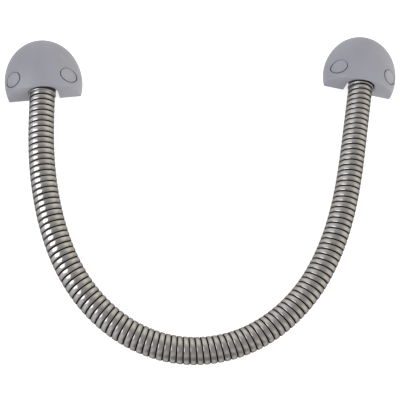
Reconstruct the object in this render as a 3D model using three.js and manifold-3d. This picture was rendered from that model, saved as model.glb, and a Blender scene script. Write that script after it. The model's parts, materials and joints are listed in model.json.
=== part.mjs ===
// Armoured door loop: a strip-wound steel hose that carries wires between two domed end caps.
// One cap is screwed to the door frame and the other to the door, and the hose hangs between them as a
// flexible loop. Millimetres, +Z up out of the mounting plane on which both caps stand.
// The origin is midway between the frame cap's two screws, on its mounting face, and the hose leaves
// that cap along -Y, leaning 6 degrees to one side.
import * as THREE from 'three';
import { mergeVertices } from 'three/addons/utils/BufferGeometryUtils.js';
import Module from 'manifold-3d';

const wasm = await Module();
wasm.setup();

// ---- Driving dimensions -------------------------------------------------------------------------

const gap = 0.3; // clearance between neighbouring pieces
const far = 60; // longer than any cap piece, for cutting tools

// Hose.
const hoseDiameter = 15;
const hoseBore = 13;
const hoseSides = 12;
const hoseAxisHeight = 8; // above the mounting plane
const hoseSectionCount = 5; // the hose bends where its sections meet
const hoseStep = 10; // distance between the hose's cross-sections

// Control points (x, y) of the hose centreline, a uniform cubic B-spline from hose end to hose end. The
// first three and the last three are in line, so the hose leaves each cap straight.
const routePoints = [
  [4.5, 38],
  [0, -3.8],
  [-4.5, -45.6],
  [-2.5, -84],
  [6, -120],
  [26, -152],
  [59.5, -173.5],
  [103, -174],
  [144.5, -149],
  [172, -104.5],
  [187.5, -59],
  [201, -18.8],
  [214.5, 21.4],
];

// Cap cover, in the cap's own axes: X across, Y away from the hose, Z up.
const capWidth = 47.4;
const capHeight = 19;
const skirtHeight = 1.8; // straight wall below the dome
const domeHalfDepth = 28.5;
const wall = 2;
const frontToScrews = 8.1; // from the flat front face back to the screws' centre line
const frontToWidest = 10.7;
const archRadius = 8.9; // mouth over the hose, open down to the mounting plane

// Screws and the plugs over them.
const screwSpacing = 33;
const screwRadius = 1.9;
const screwTipHeight = 0.4;
const screwHeadRadius = 3.4;
const screwHeadHeight = 2.2;
const screwHeadSeat = 4.6;
const crossRecessLength = 4;
const crossRecessWidth = 0.9;
const crossRecessDepth = 1.2;
const bossRadius = 6.4;
const plugRadius = 4.3;
const plugSeat = 7.2;
const plugProud = 0.2; // how far a plug stands out of the dome
const plugRecessRadius = 3;
const plugRecessDepth = 1;

// Bracket.
const plateThickness = 1.5;
const cableOutletRadius = 5.5;
const cableOutletSetback = 13; // behind the screws' centre line
const tabThickness = 1.2;
const tabWidth = 19;
const tabHeight = 14;

// End fitting: a spigot in the hose bore, a neck that sits in the bracket's slot, and an end collar.
const hoseEndSetback = 4.3; // how far the hose reaches in behind the front face
const spigotRadius = 6.1;
const spigotLength = 8;
const neckRadius = 5.2;
const collarRadius = 6.2;
const collarThickness = 1.2;
const leanPlay = 1; // room at each side of the bracket's tab, so that the hose can lean in the cap
const fittingBoreRadius = 4.4;

// Grommet that lines the end fitting's bore, and ferrule round the hose in the cap's mouth.
const grommetRadius = 4.1;
const grommetBoreRadius = 3.4;
const grommetLength = 6;
const grommetFlangeRadius = 6;
const grommetFlangeThickness = 1.2;
const ferruleInnerRadius = 7.65;
const ferruleOuterRadius = 7.95;
const ferruleProud = 1; // how far it shows in front of the cap

// Facets.
const domeSegments = 32;
const roundSegments = 24;
const weldDistance = 1e-4; // corners nearer than this are one corner
const lengthSamples = 2000; // steps the hose's length is measured in

// ---- Values worked out from them ----------------------------------------------------------------

const frontY = -frontToScrews;
const domeCentreY = frontY + frontToWidest;
const hoseEndY = frontY + hoseEndSetback;
const hoseRadius = hoseDiameter / 2;
const bossBottom = plateThickness + gap;

// Distances behind the hose's end, into the cap.
const neckStart = gap;
const tabStart = neckStart + leanPlay;
const collarStart = tabStart + tabThickness + leanPlay;
const fittingEnd = collarStart + collarThickness;
const tabY = hoseEndY + tabStart;

// ---- Materials ----------------------------------------------------------------------------------

function material(color, roughness, metalness) {
  return new THREE.MeshStandardMaterial({ color, roughness, metalness });
}

const coverPlastic = () => material(0xa2a3ad, 0.45, 0);
const plugPlastic = () => material(0xaaabb4, 0.4, 0);
const grommetPlastic = () => material(0x2a2b2e, 0.6, 0);
const hoseSteel = () => material(0xb9b4ae, 0.25, 1);
const zincPlatedSteel = () => material(0xbfc2c4, 0.35, 1);
const turnedBrass = () => material(0xb79a5b, 0.3, 1);

// ---- Solids: joining and cutting ----------------------------------------------------------------

// A closed three.js geometry as a manifold solid.
function solid(geometry) {
  const bare = geometry.clone();
  bare.deleteAttribute('normal');
  bare.deleteAttribute('uv');
  const merged = mergeVertices(bare, weldDistance);
  const index = merged.index.array;
  const triangles = [];
  for (let i = 0; i < index.length; i += 3) {
    const [a, b, c] = [index[i], index[i + 1], index[i + 2]];
    if (a !== b && b !== c && c !== a) triangles.push(a, b, c);
  }
  return new wasm.Manifold(new wasm.Mesh({
    numProp: 3,
    vertProperties: new Float32Array(merged.attributes.position.array),
    triVerts: new Uint32Array(triangles),
  }));
}

// A manifold solid back as a three.js geometry.
function geometryOf(manifold) {
  const mesh = manifold.getMesh();
  const geometry = new THREE.BufferGeometry();
  geometry.setAttribute('position', new THREE.BufferAttribute(mesh.vertProperties, 3));
  geometry.setIndex(new THREE.BufferAttribute(mesh.triVerts, 1));
  geometry.computeVertexNormals();
  return geometry;
}

// An upright round bar between two heights.
function uprightBar(radius, x, y, bottom, top) {
  const bar = new THREE.CylinderGeometry(radius, radius, top - bottom, roundSegments);
  bar.rotateX(Math.PI / 2);
  bar.translate(x, y, (bottom + top) / 2);
  return solid(bar);
}

// A box between two corners.
function block(low, high) {
  const size = high.map((value, axis) => value - low[axis]);
  const box = new THREE.BoxGeometry(...size);
  box.translate(...high.map((value, axis) => (value + low[axis]) / 2));
  return solid(box);
}

// A closed profile of [radius, y] points turned about the hose axis, with y from the hose's end.
function turned(profile) {
  const points = profile.map(([radius, y]) => new THREE.Vector2(radius, y));
  const lathe = new THREE.LatheGeometry([...points, points[0]], roundSegments);
  lathe.translate(0, 0, hoseAxisHeight);
  return solid(lathe);
}

// ---- Cap pieces, in the cap's own axes, and fittings, from the hose's end ------------------------

// Everything that lies under the dome and behind the front face, moved in by an inset.
function domeBody(inset, bottom) {
  const halfWidth = capWidth / 2 - inset;
  const halfDepth = domeHalfDepth - inset;
  const dome = new THREE.SphereGeometry(1, domeSegments, domeSegments / 2);
  dome.rotateX(Math.PI / 2);
  dome.scale(halfWidth, halfDepth, capHeight - skirtHeight - inset);
  dome.translate(0, domeCentreY, skirtHeight);
  const skirt = new THREE.CylinderGeometry(1, 1, 1, domeSegments);
  skirt.rotateX(Math.PI / 2);
  skirt.scale(halfWidth, halfDepth, skirtHeight - bottom);
  skirt.translate(0, domeCentreY, (skirtHeight + bottom) / 2);
  const inFront = block([-far, -far, -far], [far, frontY + inset, far]);
  const below = block([-far, -far, -far], [far, far, bottom]);
  return solid(dome).add(solid(skirt)).subtract(inFront).subtract(below);
}

function capCover() {
  const outside = domeBody(0, 0);
  let cover = outside.subtract(domeBody(wall, -gap));
  for (const side of [-1, 1]) {
    const x = side * screwSpacing / 2;
    cover = cover.add(uprightBar(bossRadius, x, 0, bossBottom, capHeight).intersect(outside));
  }
  for (const side of [-1, 1]) {
    const x = side * screwSpacing / 2;
    cover = cover.subtract(uprightBar(plugRadius + gap, x, 0, plugSeat, far));
    cover = cover.subtract(uprightBar(screwHeadRadius + gap, x, 0, screwHeadSeat, far));
    cover = cover.subtract(uprightBar(screwRadius + gap, x, 0, -gap, far));
  }
  const mouthDepth = hoseEndSetback + gap;
  const mouth = new THREE.CylinderGeometry(archRadius, archRadius, 2 * mouthDepth, roundSegments);
  mouth.translate(0, frontY, hoseAxisHeight);
  const mouthLow = [-archRadius, frontY - mouthDepth, -far];
  const mouthHigh = [archRadius, frontY + mouthDepth, hoseAxisHeight];
  return cover.subtract(solid(mouth)).subtract(block(mouthLow, mouthHigh));
}

// A steel plate, notched under the hose end, with a slotted tab folded up behind the notch.
function bracket() {
  const inset = wall + gap;
  const plate = domeBody(inset, 0).subtract(block([-far, -far, plateThickness], [far, far, far]));
  const tab = block([-tabWidth / 2, tabY, 0], [tabWidth / 2, tabY + tabThickness, tabHeight]);
  const slotRadius = neckRadius + gap;
  const slot = new THREE.CylinderGeometry(slotRadius, slotRadius, 4 * tabThickness, roundSegments);
  slot.translate(0, tabY, hoseAxisHeight);
  const slotLow = [-slotRadius, tabY - tabThickness, hoseAxisHeight];
  const slotHigh = [slotRadius, tabY + 2 * tabThickness, far];
  const notch = block([-archRadius, frontY, -far], [archRadius, tabY, far]);
  let shape = plate.subtract(notch).add(tab).subtract(solid(slot)).subtract(block(slotLow, slotHigh));
  shape = shape.subtract(uprightBar(cableOutletRadius, 0, cableOutletSetback, -gap, tabHeight));
  for (const side of [-1, 1]) {
    shape = shape.subtract(uprightBar(screwRadius + gap, side * screwSpacing / 2, 0, -gap, tabHeight));
  }
  return shape;
}

function screw(side) {
  const x = side * screwSpacing / 2;
  const headBottom = screwHeadSeat + gap;
  const headTop = headBottom + screwHeadHeight;
  const shank = uprightBar(screwRadius, x, 0, screwTipHeight, headTop - crossRecessDepth);
  const head = uprightBar(screwHeadRadius, x, 0, headBottom, headTop);
  const [long, short] = [crossRecessLength / 2, crossRecessWidth / 2];
  const recessBottom = headTop - crossRecessDepth;
  const across = block([x - long, -short, recessBottom], [x + long, short, far]);
  const along = block([x - short, -long, recessBottom], [x + short, long, far]);
  return shank.add(head).subtract(across).subtract(along);
}

function plug(side) {
  const x = side * screwSpacing / 2;
  const bottom = plugSeat + gap;
  const disc = uprightBar(plugRadius, x, 0, bottom, far).intersect(domeBody(-plugProud, 0));
  return disc.subtract(uprightBar(plugRecessRadius, x, 0, 0, bottom + plugRecessDepth));
}

function endFitting() {
  return turned([
    [fittingBoreRadius, neckStart - spigotLength],
    [spigotRadius, neckStart - spigotLength],
    [spigotRadius, neckStart],
    [neckRadius, neckStart],
    [neckRadius, collarStart],
    [collarRadius, collarStart],
    [collarRadius, fittingEnd],
    [fittingBoreRadius, fittingEnd],
  ]);
}

function grommet() {
  const flangeStart = fittingEnd + gap;
  return turned([
    [grommetBoreRadius, flangeStart - grommetLength],
    [grommetRadius, flangeStart - grommetLength],
    [grommetRadius, flangeStart],
    [grommetFlangeRadius, flangeStart],
    [grommetFlangeRadius, flangeStart + grommetFlangeThickness / 2],
    [grommetFlangeRadius - grommetFlangeThickness / 2, flangeStart + grommetFlangeThickness],
    [grommetBoreRadius, flangeStart + grommetFlangeThickness],
  ]);
}

function ferrule() {
  const length = hoseEndSetback + ferruleProud;
  return turned([
    [ferruleInnerRadius, -length],
    [ferruleOuterRadius, -length],
    [ferruleOuterRadius, 0],
    [ferruleInnerRadius, 0],
  ]);
}

function named(name, shape, look) {
  const mesh = new THREE.Mesh(geometryOf(shape), look);
  mesh.name = name;
  return mesh;
}

// One end of the loop: its cap, the fixings in it and the fittings on the hose's end, which lean with it.
function hoseEnd(prefix, lean) {
  const end = new THREE.Group();
  end.add(named(`${prefix}_cap_cover`, capCover(), coverPlastic()));
  end.add(named(`${prefix}_bracket`, bracket(), zincPlatedSteel()));
  for (const [side, word] of [[-1, 'left'], [1, 'right']]) {
    end.add(named(`${prefix}_screw_${word}`, screw(side), zincPlatedSteel()));
    end.add(named(`${prefix}_plug_${word}`, plug(side), plugPlastic()));
  }
  const fittings = new THREE.Group();
  fittings.add(named(`${prefix}_end_fitting`, endFitting(), turnedBrass()));
  fittings.add(named(`${prefix}_grommet`, grommet(), grommetPlastic()));
  fittings.add(named(`${prefix}_ferrule`, ferrule(), hoseSteel()));
  fittings.position.y = hoseEndY;
  fittings.rotation.z = lean;
  end.add(fittings);
  return end;
}

// ---- Hose ---------------------------------------------------------------------------------------

// The stretch of the hose centreline between two fractions of its length.
class HoseRoute extends THREE.Curve {
  constructor(from = 0, to = 1) {
    super();
    this.from = from;
    this.to = to;
  }

  getPoint(t, target = new THREE.Vector3()) {
    const spans = routePoints.length - 3;
    const along = THREE.MathUtils.clamp((this.from + t * (this.to - this.from)) * spans, 0, spans);
    const first = Math.min(Math.floor(along), spans - 1);
    const u = along - first;
    const weights = [
      (1 - u) ** 3 / 6,
      (3 * u ** 3 - 6 * u ** 2 + 4) / 6,
      (-3 * u ** 3 + 3 * u ** 2 + 3 * u + 1) / 6,
      u ** 3 / 6,
    ];
    target.set(0, 0, hoseAxisHeight);
    weights.forEach((weight, i) => {
      target.x += weight * routePoints[first + i][0];
      target.y += weight * routePoints[first + i][1];
    });
    return target;
  }
}

const wholeRoute = new HoseRoute();
wholeRoute.arcLengthDivisions = lengthSamples;
const hoseLength = wholeRoute.getLength();

// The curve parameter at a distance along the hose.
function routeParameter(distance) {
  return wholeRoute.getUtoTmapping(0, distance);
}

// A ring-shaped cross-section with flat sides.
function ringSection() {
  const corners = (radius) => Array.from({ length: hoseSides }, (_, i) => {
    const angle = 2 * Math.PI * (i + 0.5) / hoseSides;
    return new THREE.Vector2(radius * Math.cos(angle), radius * Math.sin(angle));
  });
  const section = new THREE.Shape(corners(hoseRadius));
  section.holes.push(new THREE.Path(corners(hoseBore / 2)));
  return section;
}

function hoseSection(number) {
  const length = hoseLength / hoseSectionCount;
  const start = (number - 1) * length + (number > 1 ? gap / 2 : 0);
  const end = number * length - (number < hoseSectionCount ? gap / 2 : 0);
  const tube = new THREE.ExtrudeGeometry(ringSection(), {
    steps: Math.ceil((end - start) / hoseStep),
    extrudePath: new HoseRoute(routeParameter(start), routeParameter(end)),
  });
  return solid(tube);
}

// ---- Assembly -----------------------------------------------------------------------------------

// The angle about Z that turns +Y to a direction.
function turnFromY(direction) {
  return Math.atan2(direction.y, direction.x) - Math.PI / 2;
}

const doorLoop = new THREE.Group();
doorLoop.name = 'door_loop';
doorLoop.add(hoseEnd('frame', turnFromY(wholeRoute.getTangent(0).negate())));

for (let number = 1; number <= hoseSectionCount; number += 1) {
  doorLoop.add(named(`hose_section_${number}`, hoseSection(number), hoseSteel()));
}

// The door cap stands where the hose ends, turned to face along it.
const doorEnd = hoseEnd('door', 0);
const hoseTip = wholeRoute.getPoint(1);
const intoCap = wholeRoute.getTangent(1);
doorEnd.rotation.z = turnFromY(intoCap);
doorEnd.position.set(hoseTip.x - hoseEndY * intoCap.x, hoseTip.y - hoseEndY * intoCap.y, 0);
doorLoop.add(doorEnd);

export default doorLoop;
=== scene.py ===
import json
import math

import bmesh
import bpy
import numpy as np
from mathutils import Matrix, Vector


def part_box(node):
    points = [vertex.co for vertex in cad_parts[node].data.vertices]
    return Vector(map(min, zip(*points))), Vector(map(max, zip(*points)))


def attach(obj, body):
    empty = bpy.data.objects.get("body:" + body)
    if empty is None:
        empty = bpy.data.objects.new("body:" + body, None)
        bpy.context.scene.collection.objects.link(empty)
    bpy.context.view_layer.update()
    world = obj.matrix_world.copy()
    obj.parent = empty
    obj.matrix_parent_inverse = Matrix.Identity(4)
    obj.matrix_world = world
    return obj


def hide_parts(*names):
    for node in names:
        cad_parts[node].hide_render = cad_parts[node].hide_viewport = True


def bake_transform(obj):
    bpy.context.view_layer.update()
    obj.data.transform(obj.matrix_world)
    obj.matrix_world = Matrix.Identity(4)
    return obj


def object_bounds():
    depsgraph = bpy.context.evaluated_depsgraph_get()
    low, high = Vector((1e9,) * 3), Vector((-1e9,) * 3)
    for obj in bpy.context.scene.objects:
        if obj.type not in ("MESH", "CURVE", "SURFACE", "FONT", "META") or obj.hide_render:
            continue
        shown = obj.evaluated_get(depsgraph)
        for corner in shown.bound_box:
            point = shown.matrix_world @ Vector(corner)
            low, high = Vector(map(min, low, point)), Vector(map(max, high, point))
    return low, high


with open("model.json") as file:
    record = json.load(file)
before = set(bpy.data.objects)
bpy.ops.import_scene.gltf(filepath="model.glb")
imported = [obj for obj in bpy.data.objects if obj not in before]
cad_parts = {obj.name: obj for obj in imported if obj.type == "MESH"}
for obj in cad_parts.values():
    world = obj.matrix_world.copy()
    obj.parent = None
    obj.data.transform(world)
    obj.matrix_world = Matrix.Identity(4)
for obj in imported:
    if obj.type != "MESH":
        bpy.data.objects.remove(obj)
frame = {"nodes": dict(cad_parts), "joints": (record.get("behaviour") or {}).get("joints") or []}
cad_low, cad_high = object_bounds()

MM = 0.001

# ---- Camera -------------------------------------------------------------------------------------

CAMERA_TARGET = Vector((0.08716, -0.0842, 0))
CAMERA_DISTANCE = 0.36369
CAMERA_AZIMUTH = math.radians(-22.292)
CAMERA_ELEVATION = math.radians(72.176)
CAMERA_ROLL = math.radians(15.055)
SENSOR_WIDTH = 36
FOCAL_LENGTH = 54.04


def add_camera():
    """The camera looks steeply down on the loop, and is rolled so that the two caps look level."""
    level = math.cos(CAMERA_ELEVATION)
    back = Vector((
        math.sin(CAMERA_AZIMUTH) * level,
        -math.cos(CAMERA_AZIMUTH) * level,
        math.sin(CAMERA_ELEVATION),
    ))
    right = Vector((0, 0, 1)).cross(back).normalized()
    up = back.cross(right)
    axes = Matrix((
        math.cos(CAMERA_ROLL) * right + math.sin(CAMERA_ROLL) * up,
        math.cos(CAMERA_ROLL) * up - math.sin(CAMERA_ROLL) * right,
        back,
    )).transposed()
    data = bpy.data.cameras.new("camera")
    data.sensor_width = SENSOR_WIDTH
    data.lens = FOCAL_LENGTH
    data.clip_start = 0.01
    data.clip_end = 20
    camera = bpy.data.objects.new("camera", data)
    place = CAMERA_TARGET + back * CAMERA_DISTANCE
    camera.matrix_world = Matrix.LocRotScale(place, axes.to_quaternion(), None)
    bpy.context.scene.collection.objects.link(camera)
    bpy.context.scene.camera = camera


add_camera()

# ---- Hose route ---------------------------------------------------------------------------------

PITCH = 0.0035  # one turn of the winding
ROUTE_POINTS = [  # the hose's control points in the CAD model, millimetres
    (4.5, 38),
    (0, -3.8),
    (-4.5, -45.6),
    (-2.5, -84),
    (6, -120),
    (26, -152),
    (59.5, -173.5),
    (103, -174),
    (144.5, -149),
    (172, -104.5),
    (187.5, -59),
    (201, -18.8),
    (214.5, 21.4),
]
SAMPLES_PER_SPAN = 200


def joint_named(name):
    return next(joint for joint in frame["joints"] if joint["name"] == name)


def sampled_route(height):
    """Points close together along the uniform cubic B-spline of the control points."""
    points = np.array(ROUTE_POINTS) * MM
    u = np.linspace(0, 1, SAMPLES_PER_SPAN, endpoint=False)[:, None]
    spans = []
    for first in range(len(points) - 3):
        p = points[first:first + 4]
        spans.append(
            ((1 - u) ** 3 * p[0] + (3 * u ** 3 - 6 * u ** 2 + 4) * p[1]
             + (-3 * u ** 3 + 3 * u ** 2 + 3 * u + 1) * p[2] + u ** 3 * p[3]) / 6
        )
    spans.append((points[-3:-2] + 4 * points[-2:-1] + points[-1:]) / 6)
    flat = np.concatenate(spans)
    return np.column_stack([flat, np.full(len(flat), height)])


ROUTE = sampled_route(joint_named("frame_swivel")["pos_m"][2])
ROUTE_DISTANCE = np.concatenate([[0], np.cumsum(np.linalg.norm(np.diff(ROUTE, axis=0), axis=1))])
HOSE_LENGTH = ROUTE_DISTANCE[-1]
ROUTE_TANGENT = np.gradient(ROUTE, axis=0)
ROUTE_TANGENT /= np.linalg.norm(ROUTE_TANGENT, axis=1)[:, None]


def along_route(distance):
    """Centre points and directions at distances along the hose."""
    centre = np.column_stack([np.interp(distance, ROUTE_DISTANCE, ROUTE[:, i]) for i in range(3)])
    direction = np.column_stack([
        np.interp(distance, ROUTE_DISTANCE, ROUTE_TANGENT[:, i]) for i in range(3)
    ])
    return centre, direction / np.linalg.norm(direction, axis=1)[:, None]


def onto_route(straight):
    """Points of a straight hose along +X, laid along the route."""
    centre, direction = along_route(straight[:, 0])
    side = np.column_stack([-direction[:, 1], direction[:, 0], np.zeros(len(straight))])
    bent = centre + side * straight[:, 1:2]
    bent[:, 2] += straight[:, 2]
    return bent


# ---- Mesh helpers -------------------------------------------------------------------------------


def new_piece(name, mesh, material, smooth=True):
    """A mesh object in the scene, with one material and smooth or flat shading."""
    mesh.name = name
    mesh.materials.append(material)
    mesh.polygons.foreach_set("use_smooth", [smooth] * len(mesh.polygons))
    piece = bpy.data.objects.new(name, mesh)
    bpy.context.scene.collection.objects.link(piece)
    return piece


def mesh_from(points, faces):
    mesh = bpy.data.meshes.new("piece")
    mesh.from_pydata(points.tolist(), [], faces.tolist())
    mesh.update()
    return mesh


def grid_faces(first, rows, columns, wrap):
    """Quads over a grid of points, numbered row by row from first; wrap closes each row into a ring."""
    row = np.arange(rows - 1)[:, None] * columns
    column = np.arange(columns if wrap else columns - 1)[None, :]
    beside = (column + 1) % columns
    corners = [row + column, row + beside, row + columns + beside, row + columns + column]
    return first + np.stack([np.broadcast_to(c, (rows - 1, column.size)) for c in corners], -1).reshape(-1, 4)


# ---- Hose ---------------------------------------------------------------------------------------

SEGMENTS_PER_TURN = 40
BORE_RADIUS = 6.35 * MM
ON_PLANE = 1e-7  # points nearer than this to a plane are on it
# One turn of the strip across its width: (distance in pitches, radius in millimetres). It starts in the
# groove, rises over a rolled edge to a slightly crowned band, and drops back into the next groove.
STRIP_PROFILE = [
    (0.000, 6.94),
    (0.078, 6.96),
    (0.089, 7.16),
    (0.108, 7.33),
    (0.146, 7.42),
    (0.210, 7.475),
    (0.300, 7.51),
    (0.420, 7.52),
    (0.580, 7.505),
    (0.720, 7.465),
    (0.820, 7.41),
    (0.878, 7.31),
    (0.900, 7.14),
    (0.912, 6.94),
]


def straight_hose(start, end):
    """A straight hose along +X between two distances: wound outside, with a plain bore and closed ends."""
    turns = math.ceil((end - start) / PITCH) + 3
    first_turn = math.floor(start / PITCH) - 1
    profile = np.array(STRIP_PROFILE)
    rows = turns * SEGMENTS_PER_TURN + 1
    angle = 2 * math.pi * (first_turn + np.arange(rows)[:, None] / SEGMENTS_PER_TURN)
    distance = PITCH * (angle / (2 * math.pi) + profile[:, 0][None, :])
    radius = np.broadcast_to(profile[:, 1][None, :] * MM, distance.shape)
    strip = np.stack([distance, radius * np.cos(angle), radius * np.sin(angle)], -1).reshape(-1, 3)
    columns = len(profile)
    faces = grid_faces(0, rows, columns, False)
    row = np.arange(rows - 1 - SEGMENTS_PER_TURN) * columns
    next_turn = SEGMENTS_PER_TURN * columns
    seam = [row + columns - 1, row + next_turn, row + next_turn + columns, row + 2 * columns - 1]
    faces = np.concatenate([faces, np.stack(seam, -1)])

    bm = bmesh.new()
    bm.from_mesh(mesh_from(strip, faces))
    trim_to(bm, start, end)
    rims = [[e for e in bm.edges if e.is_boundary and on_plane(e, x)] for x in (start, end)]

    rings = max(2, round((end - start) / PITCH))
    bore_angle = 2 * math.pi * np.arange(SEGMENTS_PER_TURN) / SEGMENTS_PER_TURN
    bore = [
        [bm.verts.new((x, BORE_RADIUS * math.cos(a), BORE_RADIUS * math.sin(a))) for a in bore_angle]
        for x in np.linspace(start, end, rings)
    ]
    for ring, following in zip(bore, bore[1:]):
        for i, j in zip(range(SEGMENTS_PER_TURN), [*range(1, SEGMENTS_PER_TURN), 0]):
            bm.faces.new((ring[i], ring[j], following[j], following[i]))
    for rim, ring in zip(rims, (bore[0], bore[-1])):
        circle = [bm.edges.get((ring[i - 1], ring[i])) for i in range(SEGMENTS_PER_TURN)]
        bmesh.ops.bridge_loops(bm, edges=rim + circle)
    bmesh.ops.recalc_face_normals(bm, faces=bm.faces)
    return bm


def on_plane(edge, x):
    return all(abs(vertex.co.x - x) < ON_PLANE for vertex in edge.verts)


def trim_to(bm, start, end):
    for x, outward in ((start, -1), (end, 1)):
        bmesh.ops.bisect_plane(
            bm,
            geom=[*bm.verts, *bm.edges, *bm.faces],
            dist=ON_PLANE,
            plane_co=(x, 0, 0),
            plane_no=(outward, 0, 0),
            clear_outer=True,
        )


def hose_stretch(name, start, end, material):
    """A stretch of the hose on its route. Its attribute 'straight' is each point's place before bending."""
    bm = straight_hose(start, end)
    mesh = bpy.data.meshes.new(name)
    bm.to_mesh(mesh)
    bm.free()
    flat = np.zeros(len(mesh.vertices) * 3)
    mesh.vertices.foreach_get("co", flat)
    straight = flat.reshape(-1, 3)
    mesh.attributes.new("straight", "FLOAT_VECTOR", "POINT").data.foreach_set("vector", straight.ravel())
    mesh.vertices.foreach_set("co", onto_route(straight).ravel())
    mesh.update()
    return new_piece(name, mesh, material)


MIDDLE_STRETCH = 0.0925  # the two middle stretches, each side of the middle of the hose


def add_hose(material):
    """The hose in four stretches, each of which takes the place of the CAD hose sections that it spans."""
    middle = HOSE_LENGTH / 2
    cuts = [0, middle - MIDDLE_STRETCH, middle, middle + MIDDLE_STRETCH, HOSE_LENGTH]
    replaced = [
        ("hose_section_1", "hose_section_2"),
        ("hose_section_3",),
        ("hose_section_4",),
        ("hose_section_5",),
    ]
    for number, (start, end) in enumerate(zip(cuts, cuts[1:]), 1):
        piece = hose_stretch(f"hose_{number}_wound", start, end, material)
        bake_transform(piece)
        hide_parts(*replaced[number - 1])


# ---- Smooth solids from distance functions, in millimetres ---------------------------------------


def rounded_max(a, b, radius):
    """The part inside both, with the edge between them rounded."""
    blend = np.maximum(radius - np.abs(a - b), 0) / radius
    return np.maximum(a, b) + blend ** 2 * radius / 4


def ellipsoid(p, centre, radii):
    q = (p - centre) / radii
    k0 = np.linalg.norm(q, axis=-1)
    k1 = np.linalg.norm(q / radii, axis=-1)
    return k0 * (k0 - 1) / np.maximum(k1, 1e-9)


def upright_cylinder(p, x, y, radius):
    return np.hypot(p[..., 0] - x, p[..., 1] - y) - radius


# The pairs of a grid cell's corners that an edge joins; a corner's number holds its place in three bits.
CELL_EDGES = [(a, b) for a in range(8) for b in range(a + 1, 8) if bin(a ^ b).count("1") == 1]


def surface_net(solid, low, high, cell):
    """A mesh of the surface where solid(points) is zero, one vertex for each grid cell that it crosses."""
    axes = [np.arange(a, b + cell, cell) for a, b in zip(low, high)]
    grid = np.stack(np.meshgrid(*axes, indexing="ij"), -1)
    value = solid(grid)
    inside = value < 0
    shape = [n - 1 for n in value.shape]
    total = np.zeros((*shape, 3))
    count = np.zeros(shape)
    corner = {
        c: tuple(slice(c >> i & 1, (c >> i & 1) + shape[i]) for i in range(3)) for c in range(8)
    }
    for a, b in CELL_EDGES:
        va, vb = value[corner[a]], value[corner[b]]
        crosses = (va < 0) != (vb < 0)
        share = np.where(crosses, va / np.where(crosses, va - vb, 1), 0)[..., None]
        point = grid[corner[a]] * (1 - share) + grid[corner[b]] * share
        total += np.where(crosses[..., None], point, 0)
        count += crosses
    used = count > 0
    number = np.full(shape, -1)
    number[used] = np.arange(used.sum())
    points = total[used] / count[used][:, None]
    faces = []
    for axis in range(3):
        u, v = (axis + 1) % 3, (axis + 2) % 3
        edge = [slice(1, -1)] * 3
        edge[axis] = slice(0, -1)
        beyond = list(edge)
        beyond[axis] = slice(1, None)
        starts, ends = inside[tuple(edge)], inside[tuple(beyond)]
        at = np.argwhere(starts != ends)
        leaving = starts[starts != ends]
        at[:, u] += 1
        at[:, v] += 1
        ring = []
        for du, dv in ((-1, -1), (0, -1), (0, 0), (-1, 0)):
            place = at.copy()
            place[:, u] += du
            place[:, v] += dv
            ring.append(number[tuple(place.T)])
        quads = np.stack(ring, -1)
        quads[~leaving] = quads[~leaving][:, ::-1]
        faces.append(quads)
    return settle(points, solid), np.concatenate(faces)


SETTLE_REACH = 0.3  # the furthest that one pass moves a point
STEEP_ENOUGH = 0.25  # keeps a point from leaping where the distance hardly changes


def settle(points, solid, passes=4, step=0.02):
    """Moves the points onto the surface."""
    for _ in range(passes):
        value = solid(points)
        slope = np.stack([
            (solid(points + offset) - solid(points - offset)) / (2 * step)
            for offset in np.eye(3) * step
        ], -1)
        move = value[:, None] * slope / np.maximum((slope ** 2).sum(-1), STEEP_ENOUGH)[:, None]
        points = points - np.clip(move, -SETTLE_REACH, SETTLE_REACH)
    return points


# ---- End caps -----------------------------------------------------------------------------------

cover_low, cover_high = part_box("frame_cap_cover")
CAP_HALF_WIDTH = cover_high.x / MM
CAP_HEIGHT = cover_high.z / MM
CAP_FRONT = cover_low.y / MM
HOSE_HEIGHT = ROUTE[0, 2] / MM
HOSE_END = joint_named("frame_swivel")["pos_m"][1] / MM
SKIRT_HEIGHT = 1.8
FRONT_TO_WIDEST = 10.7
DOME_CENTRE = CAP_FRONT + FRONT_TO_WIDEST
DOME_HALF_DEPTH = cover_high.y / MM - DOME_CENTRE
WALL = 2
SCREW_X = 16.5
BOSS_RADIUS = 6.4
BOSS_BOTTOM = 1.8
PLUG_HOLE_RADIUS = 4.6
PLUG_SEAT = 7.2
SCREW_HEAD_HOLE_RADIUS = 3.7
SCREW_HEAD_SEAT = 4.6
SCREW_HOLE_RADIUS = 2.2
ARCH_RADIUS = 8.9
ARCH_DEPTH = 4.6
# The rounding of the front crease, at distances to each side of the middle: crisp by the arch and at
# the corners.
CREASE_ACROSS = (8.9, 13, 19, 22)
CREASE_ROUNDING = (0.4, 1.2, 1.0, 0.4)
ARCH_EDGE = 0.3
HOLE_EDGE = 0.4
BASE_EDGE = 0.35
COVER_CELL = 0.38
PLUG_CELL = 0.3


def under_dome(p, grow):
    """The dome on its upright skirt, grown by a margin."""
    raised = p.copy()
    raised[..., 2] = np.maximum(p[..., 2] - SKIRT_HEIGHT, 0)
    radii = (CAP_HALF_WIDTH + grow, DOME_HALF_DEPTH + grow, CAP_HEIGHT - SKIRT_HEIGHT + grow)
    return ellipsoid(raised, (0, DOME_CENTRE, 0), np.array(radii))


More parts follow.
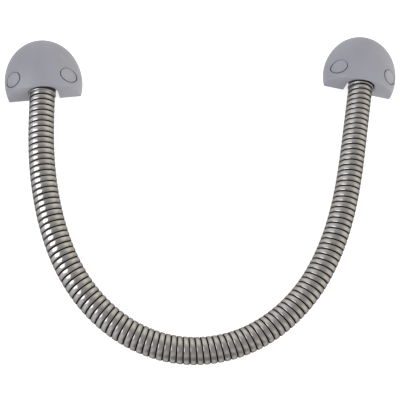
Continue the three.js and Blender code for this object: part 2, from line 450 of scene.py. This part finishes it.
def cover_solid(p):
    """A cover: a domed shell with a flat front, two bosses with stepped holes, and the hose's mouth."""
    x, y, z = p[..., 0], p[..., 1], p[..., 2]
    crease = np.interp(np.abs(x), CREASE_ACROSS, CREASE_ROUNDING)
    outside = rounded_max(under_dome(p, 0), CAP_FRONT - y, crease)
    room = np.maximum(under_dome(p, -WALL), CAP_FRONT + WALL - y)
    bosses = [upright_cylinder(p, side, 0, BOSS_RADIUS) for side in (-SCREW_X, SCREW_X)]
    boss = np.maximum(np.minimum(*bosses), BOSS_BOTTOM - z)
    cover = np.maximum(outside, -np.maximum(room, -boss))
    cover = rounded_max(cover, -z, BASE_EDGE)
    for side in (-SCREW_X, SCREW_X):
        for radius, seat in (
            (PLUG_HOLE_RADIUS, PLUG_SEAT),
            (SCREW_HEAD_HOLE_RADIUS, SCREW_HEAD_SEAT),
            (SCREW_HOLE_RADIUS, -1),
        ):
            hole = np.maximum(upright_cylinder(p, side, 0, radius), seat - z)
            cover = rounded_max(cover, -hole, HOLE_EDGE)
    above = np.hypot(x, z - HOSE_HEIGHT)
    arch = np.where(z > HOSE_HEIGHT, above, np.abs(x)) - ARCH_RADIUS
    return rounded_max(cover, -np.maximum(arch, y - CAP_FRONT - ARCH_DEPTH), ARCH_EDGE)


PLUG_RADIUS = 4.18
PLUG_BOTTOM = 7.5
PLUG_PROUD = 0.2
PLUG_RIM = 0.75  # the width of the raised rim round each plug
PLUG_DISH = 0.3  # how far the plug's middle lies under its rim
PLUG_RIM_EDGE = 0.45
PLUG_DISH_EDGE = 0.35
PLUG_RECESS_RADIUS = 3
PLUG_RECESS_TOP = 8.5


def plug_solid(p):
    """A screw plug about its own axis: a dished face that follows the dome, and a recess underneath."""
    across = np.hypot(p[..., 0], p[..., 1])
    placed = p + np.array((SCREW_X, 0, 0))
    rim = rounded_max(under_dome(placed, PLUG_PROUD), across - PLUG_RADIUS, PLUG_RIM_EDGE)
    dish = np.maximum(across - (PLUG_RADIUS - PLUG_RIM), -under_dome(placed, PLUG_PROUD - PLUG_DISH))
    plug = rounded_max(rim, -dish, PLUG_DISH_EDGE)
    plug = np.maximum(plug, PLUG_BOTTOM - p[..., 2])
    return np.maximum(plug, -np.maximum(across - PLUG_RECESS_RADIUS, p[..., 2] - PLUG_RECESS_TOP))


def cap_places():
    """Each cap's place: the frame cap stands at the origin, and the door cap at the hose's far end."""
    swivel = joint_named("door_swivel")
    into_cap = -Vector(swivel["axis"]).normalized()
    turn = math.atan2(into_cap.y, into_cap.x) - math.pi / 2
    origin = Vector(swivel["pos_m"]) - into_cap * (HOSE_END * MM)
    origin.z = 0
    return {"frame": Matrix.Identity(4), "door": Matrix.Translation(origin) @ Matrix.Rotation(turn, 4, "Z")}


def add_caps(cover_material, plug_material):
    margin = 1
    low = (-CAP_HALF_WIDTH - margin, CAP_FRONT - margin, -margin)
    high = (CAP_HALF_WIDTH + margin, DOME_CENTRE + DOME_HALF_DEPTH + margin, CAP_HEIGHT + margin)
    cover_points, cover_faces = surface_net(cover_solid, low, high, COVER_CELL)
    plug_low = (-PLUG_RADIUS - margin, -PLUG_RADIUS - margin, PLUG_BOTTOM - margin)
    plug_high = (PLUG_RADIUS + margin, PLUG_RADIUS + margin, CAP_HEIGHT)
    plug_points, plug_faces = surface_net(plug_solid, plug_low, plug_high, PLUG_CELL)
    right_plug = plug_points + np.array((SCREW_X, 0, 0))
    left_plug = right_plug * np.array((-1, 1, 1))
    for prefix, place in cap_places().items():
        cover_mesh = mesh_from(cover_points * MM, cover_faces)
        cover = new_piece(f"{prefix}_cover", cover_mesh, cover_material)
        cover.data.transform(place)
        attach(cover, f"{prefix}_cap")
        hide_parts(f"{prefix}_cap_cover")
        for side, points, faces in (
            ("left", left_plug, plug_faces[:, ::-1]),
            ("right", right_plug, plug_faces),
        ):
            plug_mesh = mesh_from(points * MM, faces)
            plug = new_piece(f"{prefix}_{side}_screw_plug", plug_mesh, plug_material)
            plug.data.transform(place)
            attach(plug, f"{prefix}_plug_{side}")
            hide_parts(f"{prefix}_plug_{side}")


# ---- Ferrules -----------------------------------------------------------------------------------

FERRULE_SEGMENTS = 96
# Round the hose axis: (distance in front of the hose's end, radius), millimetres. A crimped sleeve with a
# rolled bead at its mouth and a shallow crimp behind it.
FERRULE_PROFILE = [
    (5.30, 7.62),
    (5.42, 7.72),
    (5.45, 7.86),
    (5.38, 7.98),
    (5.20, 8.06),
    (4.90, 8.08),
    (4.62, 8.02),
    (4.45, 7.92),
    (4.20, 7.86),
    (2.40, 7.86),
    (2.00, 7.80),
    (1.40, 7.80),
    (1.00, 7.90),
    (0.12, 7.93),
    (0.00, 7.86),
    (0.00, 7.64),
    (2.60, 7.62),
]


def add_ferrules(material):
    profile = np.array(FERRULE_PROFILE) * MM
    angle = np.linspace(0, 2 * math.pi, FERRULE_SEGMENTS, endpoint=False)[:, None]
    for prefix, body, flip in (("frame", "hose_1", 1), ("door", "hose_5", -1)):
        distance = profile[:, 0] if flip > 0 else HOSE_LENGTH - profile[:, 0]
        straight = np.stack([
            np.broadcast_to(distance, (FERRULE_SEGMENTS, len(profile))),
            profile[:, 1] * np.cos(angle),
            profile[:, 1] * np.sin(angle) * flip,
        ], -1).reshape(-1, 3)
        rows = np.arange(FERRULE_SEGMENTS)[:, None] * len(profile)
        following = np.roll(rows, -1, axis=0)
        column = np.arange(len(profile))[None, :]
        beside = (column + 1) % len(profile)
        faces = np.stack([rows + column, following + column, following + beside, rows + beside], -1)
        mesh = mesh_from(onto_route(straight), faces.reshape(-1, 4))
        ring = new_piece(f"{prefix}_ferrule_ring", mesh, material)
        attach(ring, body)
        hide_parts(f"{prefix}_ferrule")


# ---- Materials ----------------------------------------------------------------------------------


class Nodes:
    """The node tree of a new material or of the world."""

    def __init__(self, owner):
        owner.use_nodes = True
        self.owner = owner
        self.tree = owner.node_tree

    def add(self, kind, inputs=None, **settings):
        node = self.tree.nodes.new(kind)
        for key, value in settings.items():
            setattr(node, key, value)
        for key, value in (inputs or {}).items():
            self.give(node, key, value)
        return node

    def give(self, node, key, value):
        """Sets a socket to a value, or links another node's output to it."""
        socket = node.inputs[key]
        if isinstance(value, bpy.types.NodeSocket):
            self.tree.links.new(value, socket)
        else:
            socket.default_value = value

    def noise(self, vector, scale, detail=3, roughness=0.5):
        inputs = {"Vector": vector, "Scale": scale, "Detail": detail, "Roughness": roughness}
        return self.add("ShaderNodeTexNoise", inputs).outputs["Fac"]

    def between(self, value, low, high, to_low, to_high):
        """A value's range low to high, as to_low to to_high."""
        inputs = {"Value": value, "From Min": low, "From Max": high, "To Min": to_low, "To Max": to_high}
        return self.add("ShaderNodeMapRange", inputs).outputs["Result"]

    def smooth(self, value, low, high):
        inputs = {"Value": value, "From Min": low, "From Max": high}
        return self.add("ShaderNodeMapRange", inputs, interpolation_type="SMOOTHSTEP").outputs["Result"]

    def maths(self, operation, a, b):
        return self.add("ShaderNodeMath", {0: a, 1: b}, operation=operation).outputs["Value"]

    def mix(self, share, a, b):
        node = self.add("ShaderNodeMix", {"Factor": share}, data_type="RGBA")
        self.give(node, 6, a)
        self.give(node, 7, b)
        return node.outputs[2]

    def stretched(self, vector, scale):
        return self.add("ShaderNodeMapping", {"Vector": vector, "Scale": scale}).outputs["Vector"]

    def bump(self, height, strength, distance, under=None):
        inputs = {"Height": height, "Strength": strength, "Distance": distance}
        if under is not None:
            inputs["Normal"] = under
        return self.add("ShaderNodeBump", inputs).outputs["Normal"]

    def finish(self, **inputs):
        shader = self.tree.nodes["Principled BSDF"]
        for key, value in inputs.items():
            self.give(shader, key.replace("_", " "), value)
        return self.owner


def material_nodes(name):
    return Nodes(bpy.data.materials.new(name))


def object_place(nodes):
    return nodes.add("ShaderNodeTexCoord").outputs["Object"]


def edges(nodes):
    """About 0.5 on flat ground, more on outside edges and less in corners."""
    return nodes.add("ShaderNodeNewGeometry").outputs["Pointiness"]


def moulded_plastic(name, light, dark, roughness):
    """Satin moulded plastic: a fine spark-eroded grain, faint flow marks, handling marks and paler edges."""
    nodes = material_nodes(name)
    place = object_place(nodes)
    flow = nodes.noise(nodes.stretched(place, (60, 25, 60)), 1, 3)
    colour = nodes.mix(nodes.between(flow, 0.35, 0.65, 0, 1), dark, light)
    speck = nodes.noise(place, 2600, 2)
    colour = nodes.mix(nodes.between(speck, 0.62, 0.8, 0, 0.35), colour, [c * 0.72 for c in dark[:3]] + [1])
    worn = nodes.between(edges(nodes), 0.53, 0.62, 0, 0.45)
    colour = nodes.mix(worn, colour, [min(1, c * 1.28) for c in light[:3]] + [1])
    grain = nodes.noise(place, 3400, 2, 0.6)
    smudge = nodes.noise(place, 130, 4, 0.6)
    scuff = nodes.noise(nodes.stretched(place, (900, 120, 900)), 1, 2)
    smudged = nodes.between(smudge, 0.3, 0.7, -0.06, 0.06)
    scuffed = nodes.between(scuff, 0.3, 0.7, -0.03, 0.03)
    gloss = nodes.maths("ADD", smudged, scuffed)
    normal = nodes.bump(grain, 0.28, 0.00006)
    normal = nodes.bump(smudge, 0.12, 0.0002, normal)
    return nodes.finish(
        Base_Color=colour,
        Roughness=nodes.maths("ADD", gloss, roughness),
        IOR=1.5,
        Normal=normal,
    )


def hose_steel():
    """Rolled stainless strip: brushed along the strip, rubbed bright on its crown, with painted shade and
    grime darkening the grooves.
    """
    nodes = material_nodes("hose_steel")
    straight = nodes.add("ShaderNodeAttribute", attribute_name="straight").outputs["Vector"]
    parts = nodes.add("ShaderNodeSeparateXYZ", {"Vector": straight}).outputs
    squared = nodes.maths("ADD", nodes.maths("POWER", parts[1], 2), nodes.maths("POWER", parts[2], 2))
    radius = nodes.maths("SQRT", squared, 0)
    # crest: 0 in the grooves, 1 on the bands; it paints shade with grime into the grooves and makes them
    # rough
    crest = nodes.between(radius, 0.00712, 0.00740, 0, 1)
    rolled = nodes.between(radius, 0.00744, 0.00752, 0, 1)
    turns = nodes.noise(nodes.stretched(straight, (290, 20, 20)), 1, 1)
    patches = nodes.noise(straight, 160, 3, 0.6)
    shade = nodes.between(turns, 0.3, 0.7, 0, 1)
    colour = nodes.mix(shade, (0.36, 0.346, 0.33, 1), (0.45, 0.441, 0.433, 1))
    colour = nodes.mix(nodes.between(patches, 0.5, 0.75, 0, 0.35), colour, (0.32, 0.305, 0.275, 1))
    colour = nodes.mix(nodes.between(rolled, 0, 1, 0, 0.7), colour, (0.66, 0.65, 0.64, 1))
    # Painted shade with grime: near-black in the grooves, fading out over the band edges.
    colour = nodes.mix(crest, (0.014, 0.012, 0.011, 1), colour)
    streak = nodes.noise(nodes.stretched(straight, (26000, 500, 500)), 1, 2)
    scratch = nodes.noise(nodes.stretched(straight, (7000, 260, 260)), 1, 3)
    dull = nodes.between(patches, 0.3, 0.7, 0.15, 0.24)
    brushed = nodes.between(streak, 0.3, 0.7, -0.03, 0.03)
    rough = nodes.maths("ADD", dull, brushed)
    rough = nodes.add("ShaderNodeMix", {"Factor": crest, 2: 0.6, 3: rough}).outputs[0]
    normal = nodes.bump(streak, 0.10, 0.00003)
    normal = nodes.bump(scratch, 0.16, 0.00004, normal)
    normal = nodes.bump(patches, 0.25, 0.0004, normal)
    return nodes.finish(
        Base_Color=colour,
        Metallic=1,
        Roughness=rough,
        Specular_Tint=(0.45, 0.45, 0.46, 1),
        Normal=normal,
    )


def plain_steel(name, light, dark, roughness, grain_scale):
    """Bright plated or polished steel with fine scratches, dull patches and rubbed edges."""
    nodes = material_nodes(name)
    place = object_place(nodes)
    patches = nodes.noise(place, 240, 4, 0.6)
    colour = nodes.mix(nodes.between(patches, 0.35, 0.65, 0, 1), dark, light)
    worn = nodes.between(edges(nodes), 0.53, 0.65, 0, 0.5)
    colour = nodes.mix(worn, colour, (0.85, 0.84, 0.82, 1))
    scratch = nodes.noise(nodes.stretched(place, grain_scale), 1, 3)
    rough = nodes.between(nodes.maths("ADD", patches, scratch), 0.7, 1.3, roughness - 0.06, roughness + 0.08)
    normal = nodes.bump(scratch, 0.15, 0.00005)
    return nodes.finish(Base_Color=colour, Metallic=1, Roughness=rough, Normal=normal)


def soft_black_plastic():
    nodes = material_nodes("grommet_plastic")
    place = object_place(nodes)
    dust = nodes.noise(place, 700, 4, 0.6)
    dusted = nodes.between(dust, 0.5, 0.8, 0, 0.5)
    colour = nodes.mix(dusted, (0.018, 0.018, 0.02, 1), (0.07, 0.068, 0.065, 1))
    normal = nodes.bump(nodes.noise(place, 2500, 2), 0.3, 0.0001)
    rough = nodes.between(dust, 0.3, 0.7, 0.5, 0.7)
    return nodes.finish(Base_Color=colour, Roughness=rough, Normal=normal)


def dress_cad_nodes():
    """The CAD nodes that keep their own meshes: brackets, screws, end fittings and grommets."""
    zinc = plain_steel("bracket_zinc", (0.62, 0.64, 0.66, 1), (0.46, 0.48, 0.52, 1), 0.34, (400, 2600, 2600))
    screw = plain_steel("screw_zinc", (0.66, 0.67, 0.68, 1), (0.48, 0.5, 0.54, 1), 0.28, (2400, 2400, 400))
    brass = plain_steel("turned_brass", (0.68, 0.5, 0.24, 1), (0.5, 0.34, 0.14, 1), 0.26, (300, 5200, 300))
    rubber = soft_black_plastic()
    looks = {"bracket": zinc, "screw": screw, "end_fitting": brass, "grommet": rubber}
    for name, node in frame["nodes"].items():
        for word, material in looks.items():
            if f"_{word}" in name:
                node.data.materials.clear()
                node.data.materials.append(material)


# ---- Floor and light ----------------------------------------------------------------------------

FLOOR_SIZE = 6


def add_floor():
    """A pale light table, which glows so that almost no shadow shows round the loop."""
    nodes = material_nodes("floor")
    place = object_place(nodes)
    mottle = nodes.noise(place, 6, 3)
    colour = nodes.mix(mottle, (0.62, 0.62, 0.62, 1), (0.65, 0.65, 0.65, 1))
    material = nodes.finish(Base_Color=colour, Roughness=0.7, Emission_Color=colour, Emission_Strength=1.1)
    half = FLOOR_SIZE / 2
    corners = np.array([(-half, -half, 0), (half, -half, 0), (half, half, 0), (-half, half, 0)])
    floor = new_piece("floor", mesh_from(corners, np.array([[0, 1, 2, 3]])), material, smooth=False)
    floor.visible_glossy = False  # reflections show the sky's lower half instead, which is dimmer


def add_sky():
    """Soft studio surroundings: cool on the left, warm on the right, dim overhead, dark behind the camera."""
    world = bpy.data.worlds.new("studio")
    bpy.context.scene.world = world
    nodes = Nodes(world)
    direction = nodes.add("ShaderNodeTexCoord").outputs["Generated"]
    parts = nodes.add("ShaderNodeSeparateXYZ", {0: direction}).outputs
    across = nodes.mix(nodes.smooth(parts[0], -0.9, 0.7), (1.02, 1.05, 1.19, 1), (1.08, 1.04, 0.93, 1))
    along = nodes.mix(nodes.smooth(parts[1], -0.8, 0.8), (0.68, 0.63, 0.61, 1), (0.86, 0.83, 0.74, 1))
    sides = nodes.mix(0.5, across, along)
    sides = nodes.mix(nodes.smooth(parts[1], -0.98, -0.6), (0.28, 0.27, 0.26, 1), sides)
    colour = nodes.mix(nodes.smooth(parts[2], 0.45, 0.97), sides, (0.43, 0.42, 0.42, 1))
    colour = nodes.mix(nodes.smooth(parts[2], -0.35, 0.1), (0.72, 0.7, 0.67, 1), colour)
    nodes.give(nodes.tree.nodes["Background"], "Color", colour)


def add_area_light(name, place, size, power, colour, seen_by):
    """A soft box aimed at the loop. It lights either the diffuse colours or the reflections."""
    data = bpy.data.lights.new(name, "AREA")
    data.shape = "RECTANGLE"
    data.size, data.size_y = size
    data.energy = power
    data.color = colour
    light = bpy.data.objects.new(name, data)
    light.location = place
    middle = (cad_low + cad_high) / 2
    light.rotation_euler = (Vector(place) - middle).to_track_quat("Z", "Y").to_euler()
    light.visible_camera = False
    light.visible_diffuse = seen_by == "diffuse"
    light.visible_glossy = seen_by == "reflections"
    bpy.context.scene.collection.objects.link(light)


def add_lights():
    add_area_light("fill_left", (-0.7, -0.1, 1.5), (2.0, 2.4), 12, (0.86, 0.92, 1.12), "diffuse")
    add_area_light("fill_right", (0.9, -0.1, 1.5), (2.0, 2.4), 8, (1.05, 1.02, 0.86), "diffuse")
    add_area_light("fill_front", (0.9, -1.2, 0.5), (0.9, 0.7), 9, (1, 1, 1), "diffuse")
    add_area_light("key", (-1.0, 0.1, 1.0), (0.8, 1.1), 7, (0.97, 0.98, 1), "reflections")


# ---- Everything together ------------------------------------------------------------------------

add_hose(hose_steel())
add_caps(
    moulded_plastic("cap_plastic", (0.28, 0.282, 0.322, 1), (0.256, 0.257, 0.286, 1), 0.42),
    moulded_plastic("plug_plastic", (0.3, 0.302, 0.342, 1), (0.278, 0.279, 0.308, 1), 0.36),
)
add_ferrules(
    plain_steel("ferrule_steel", (0.74, 0.73, 0.72, 1), (0.58, 0.56, 0.54, 1), 0.2, (6000, 500, 500))
)
dress_cad_nodes()
add_floor()
add_sky()
add_lights()
bpy.context.scene.view_settings.view_transform = "Standard"
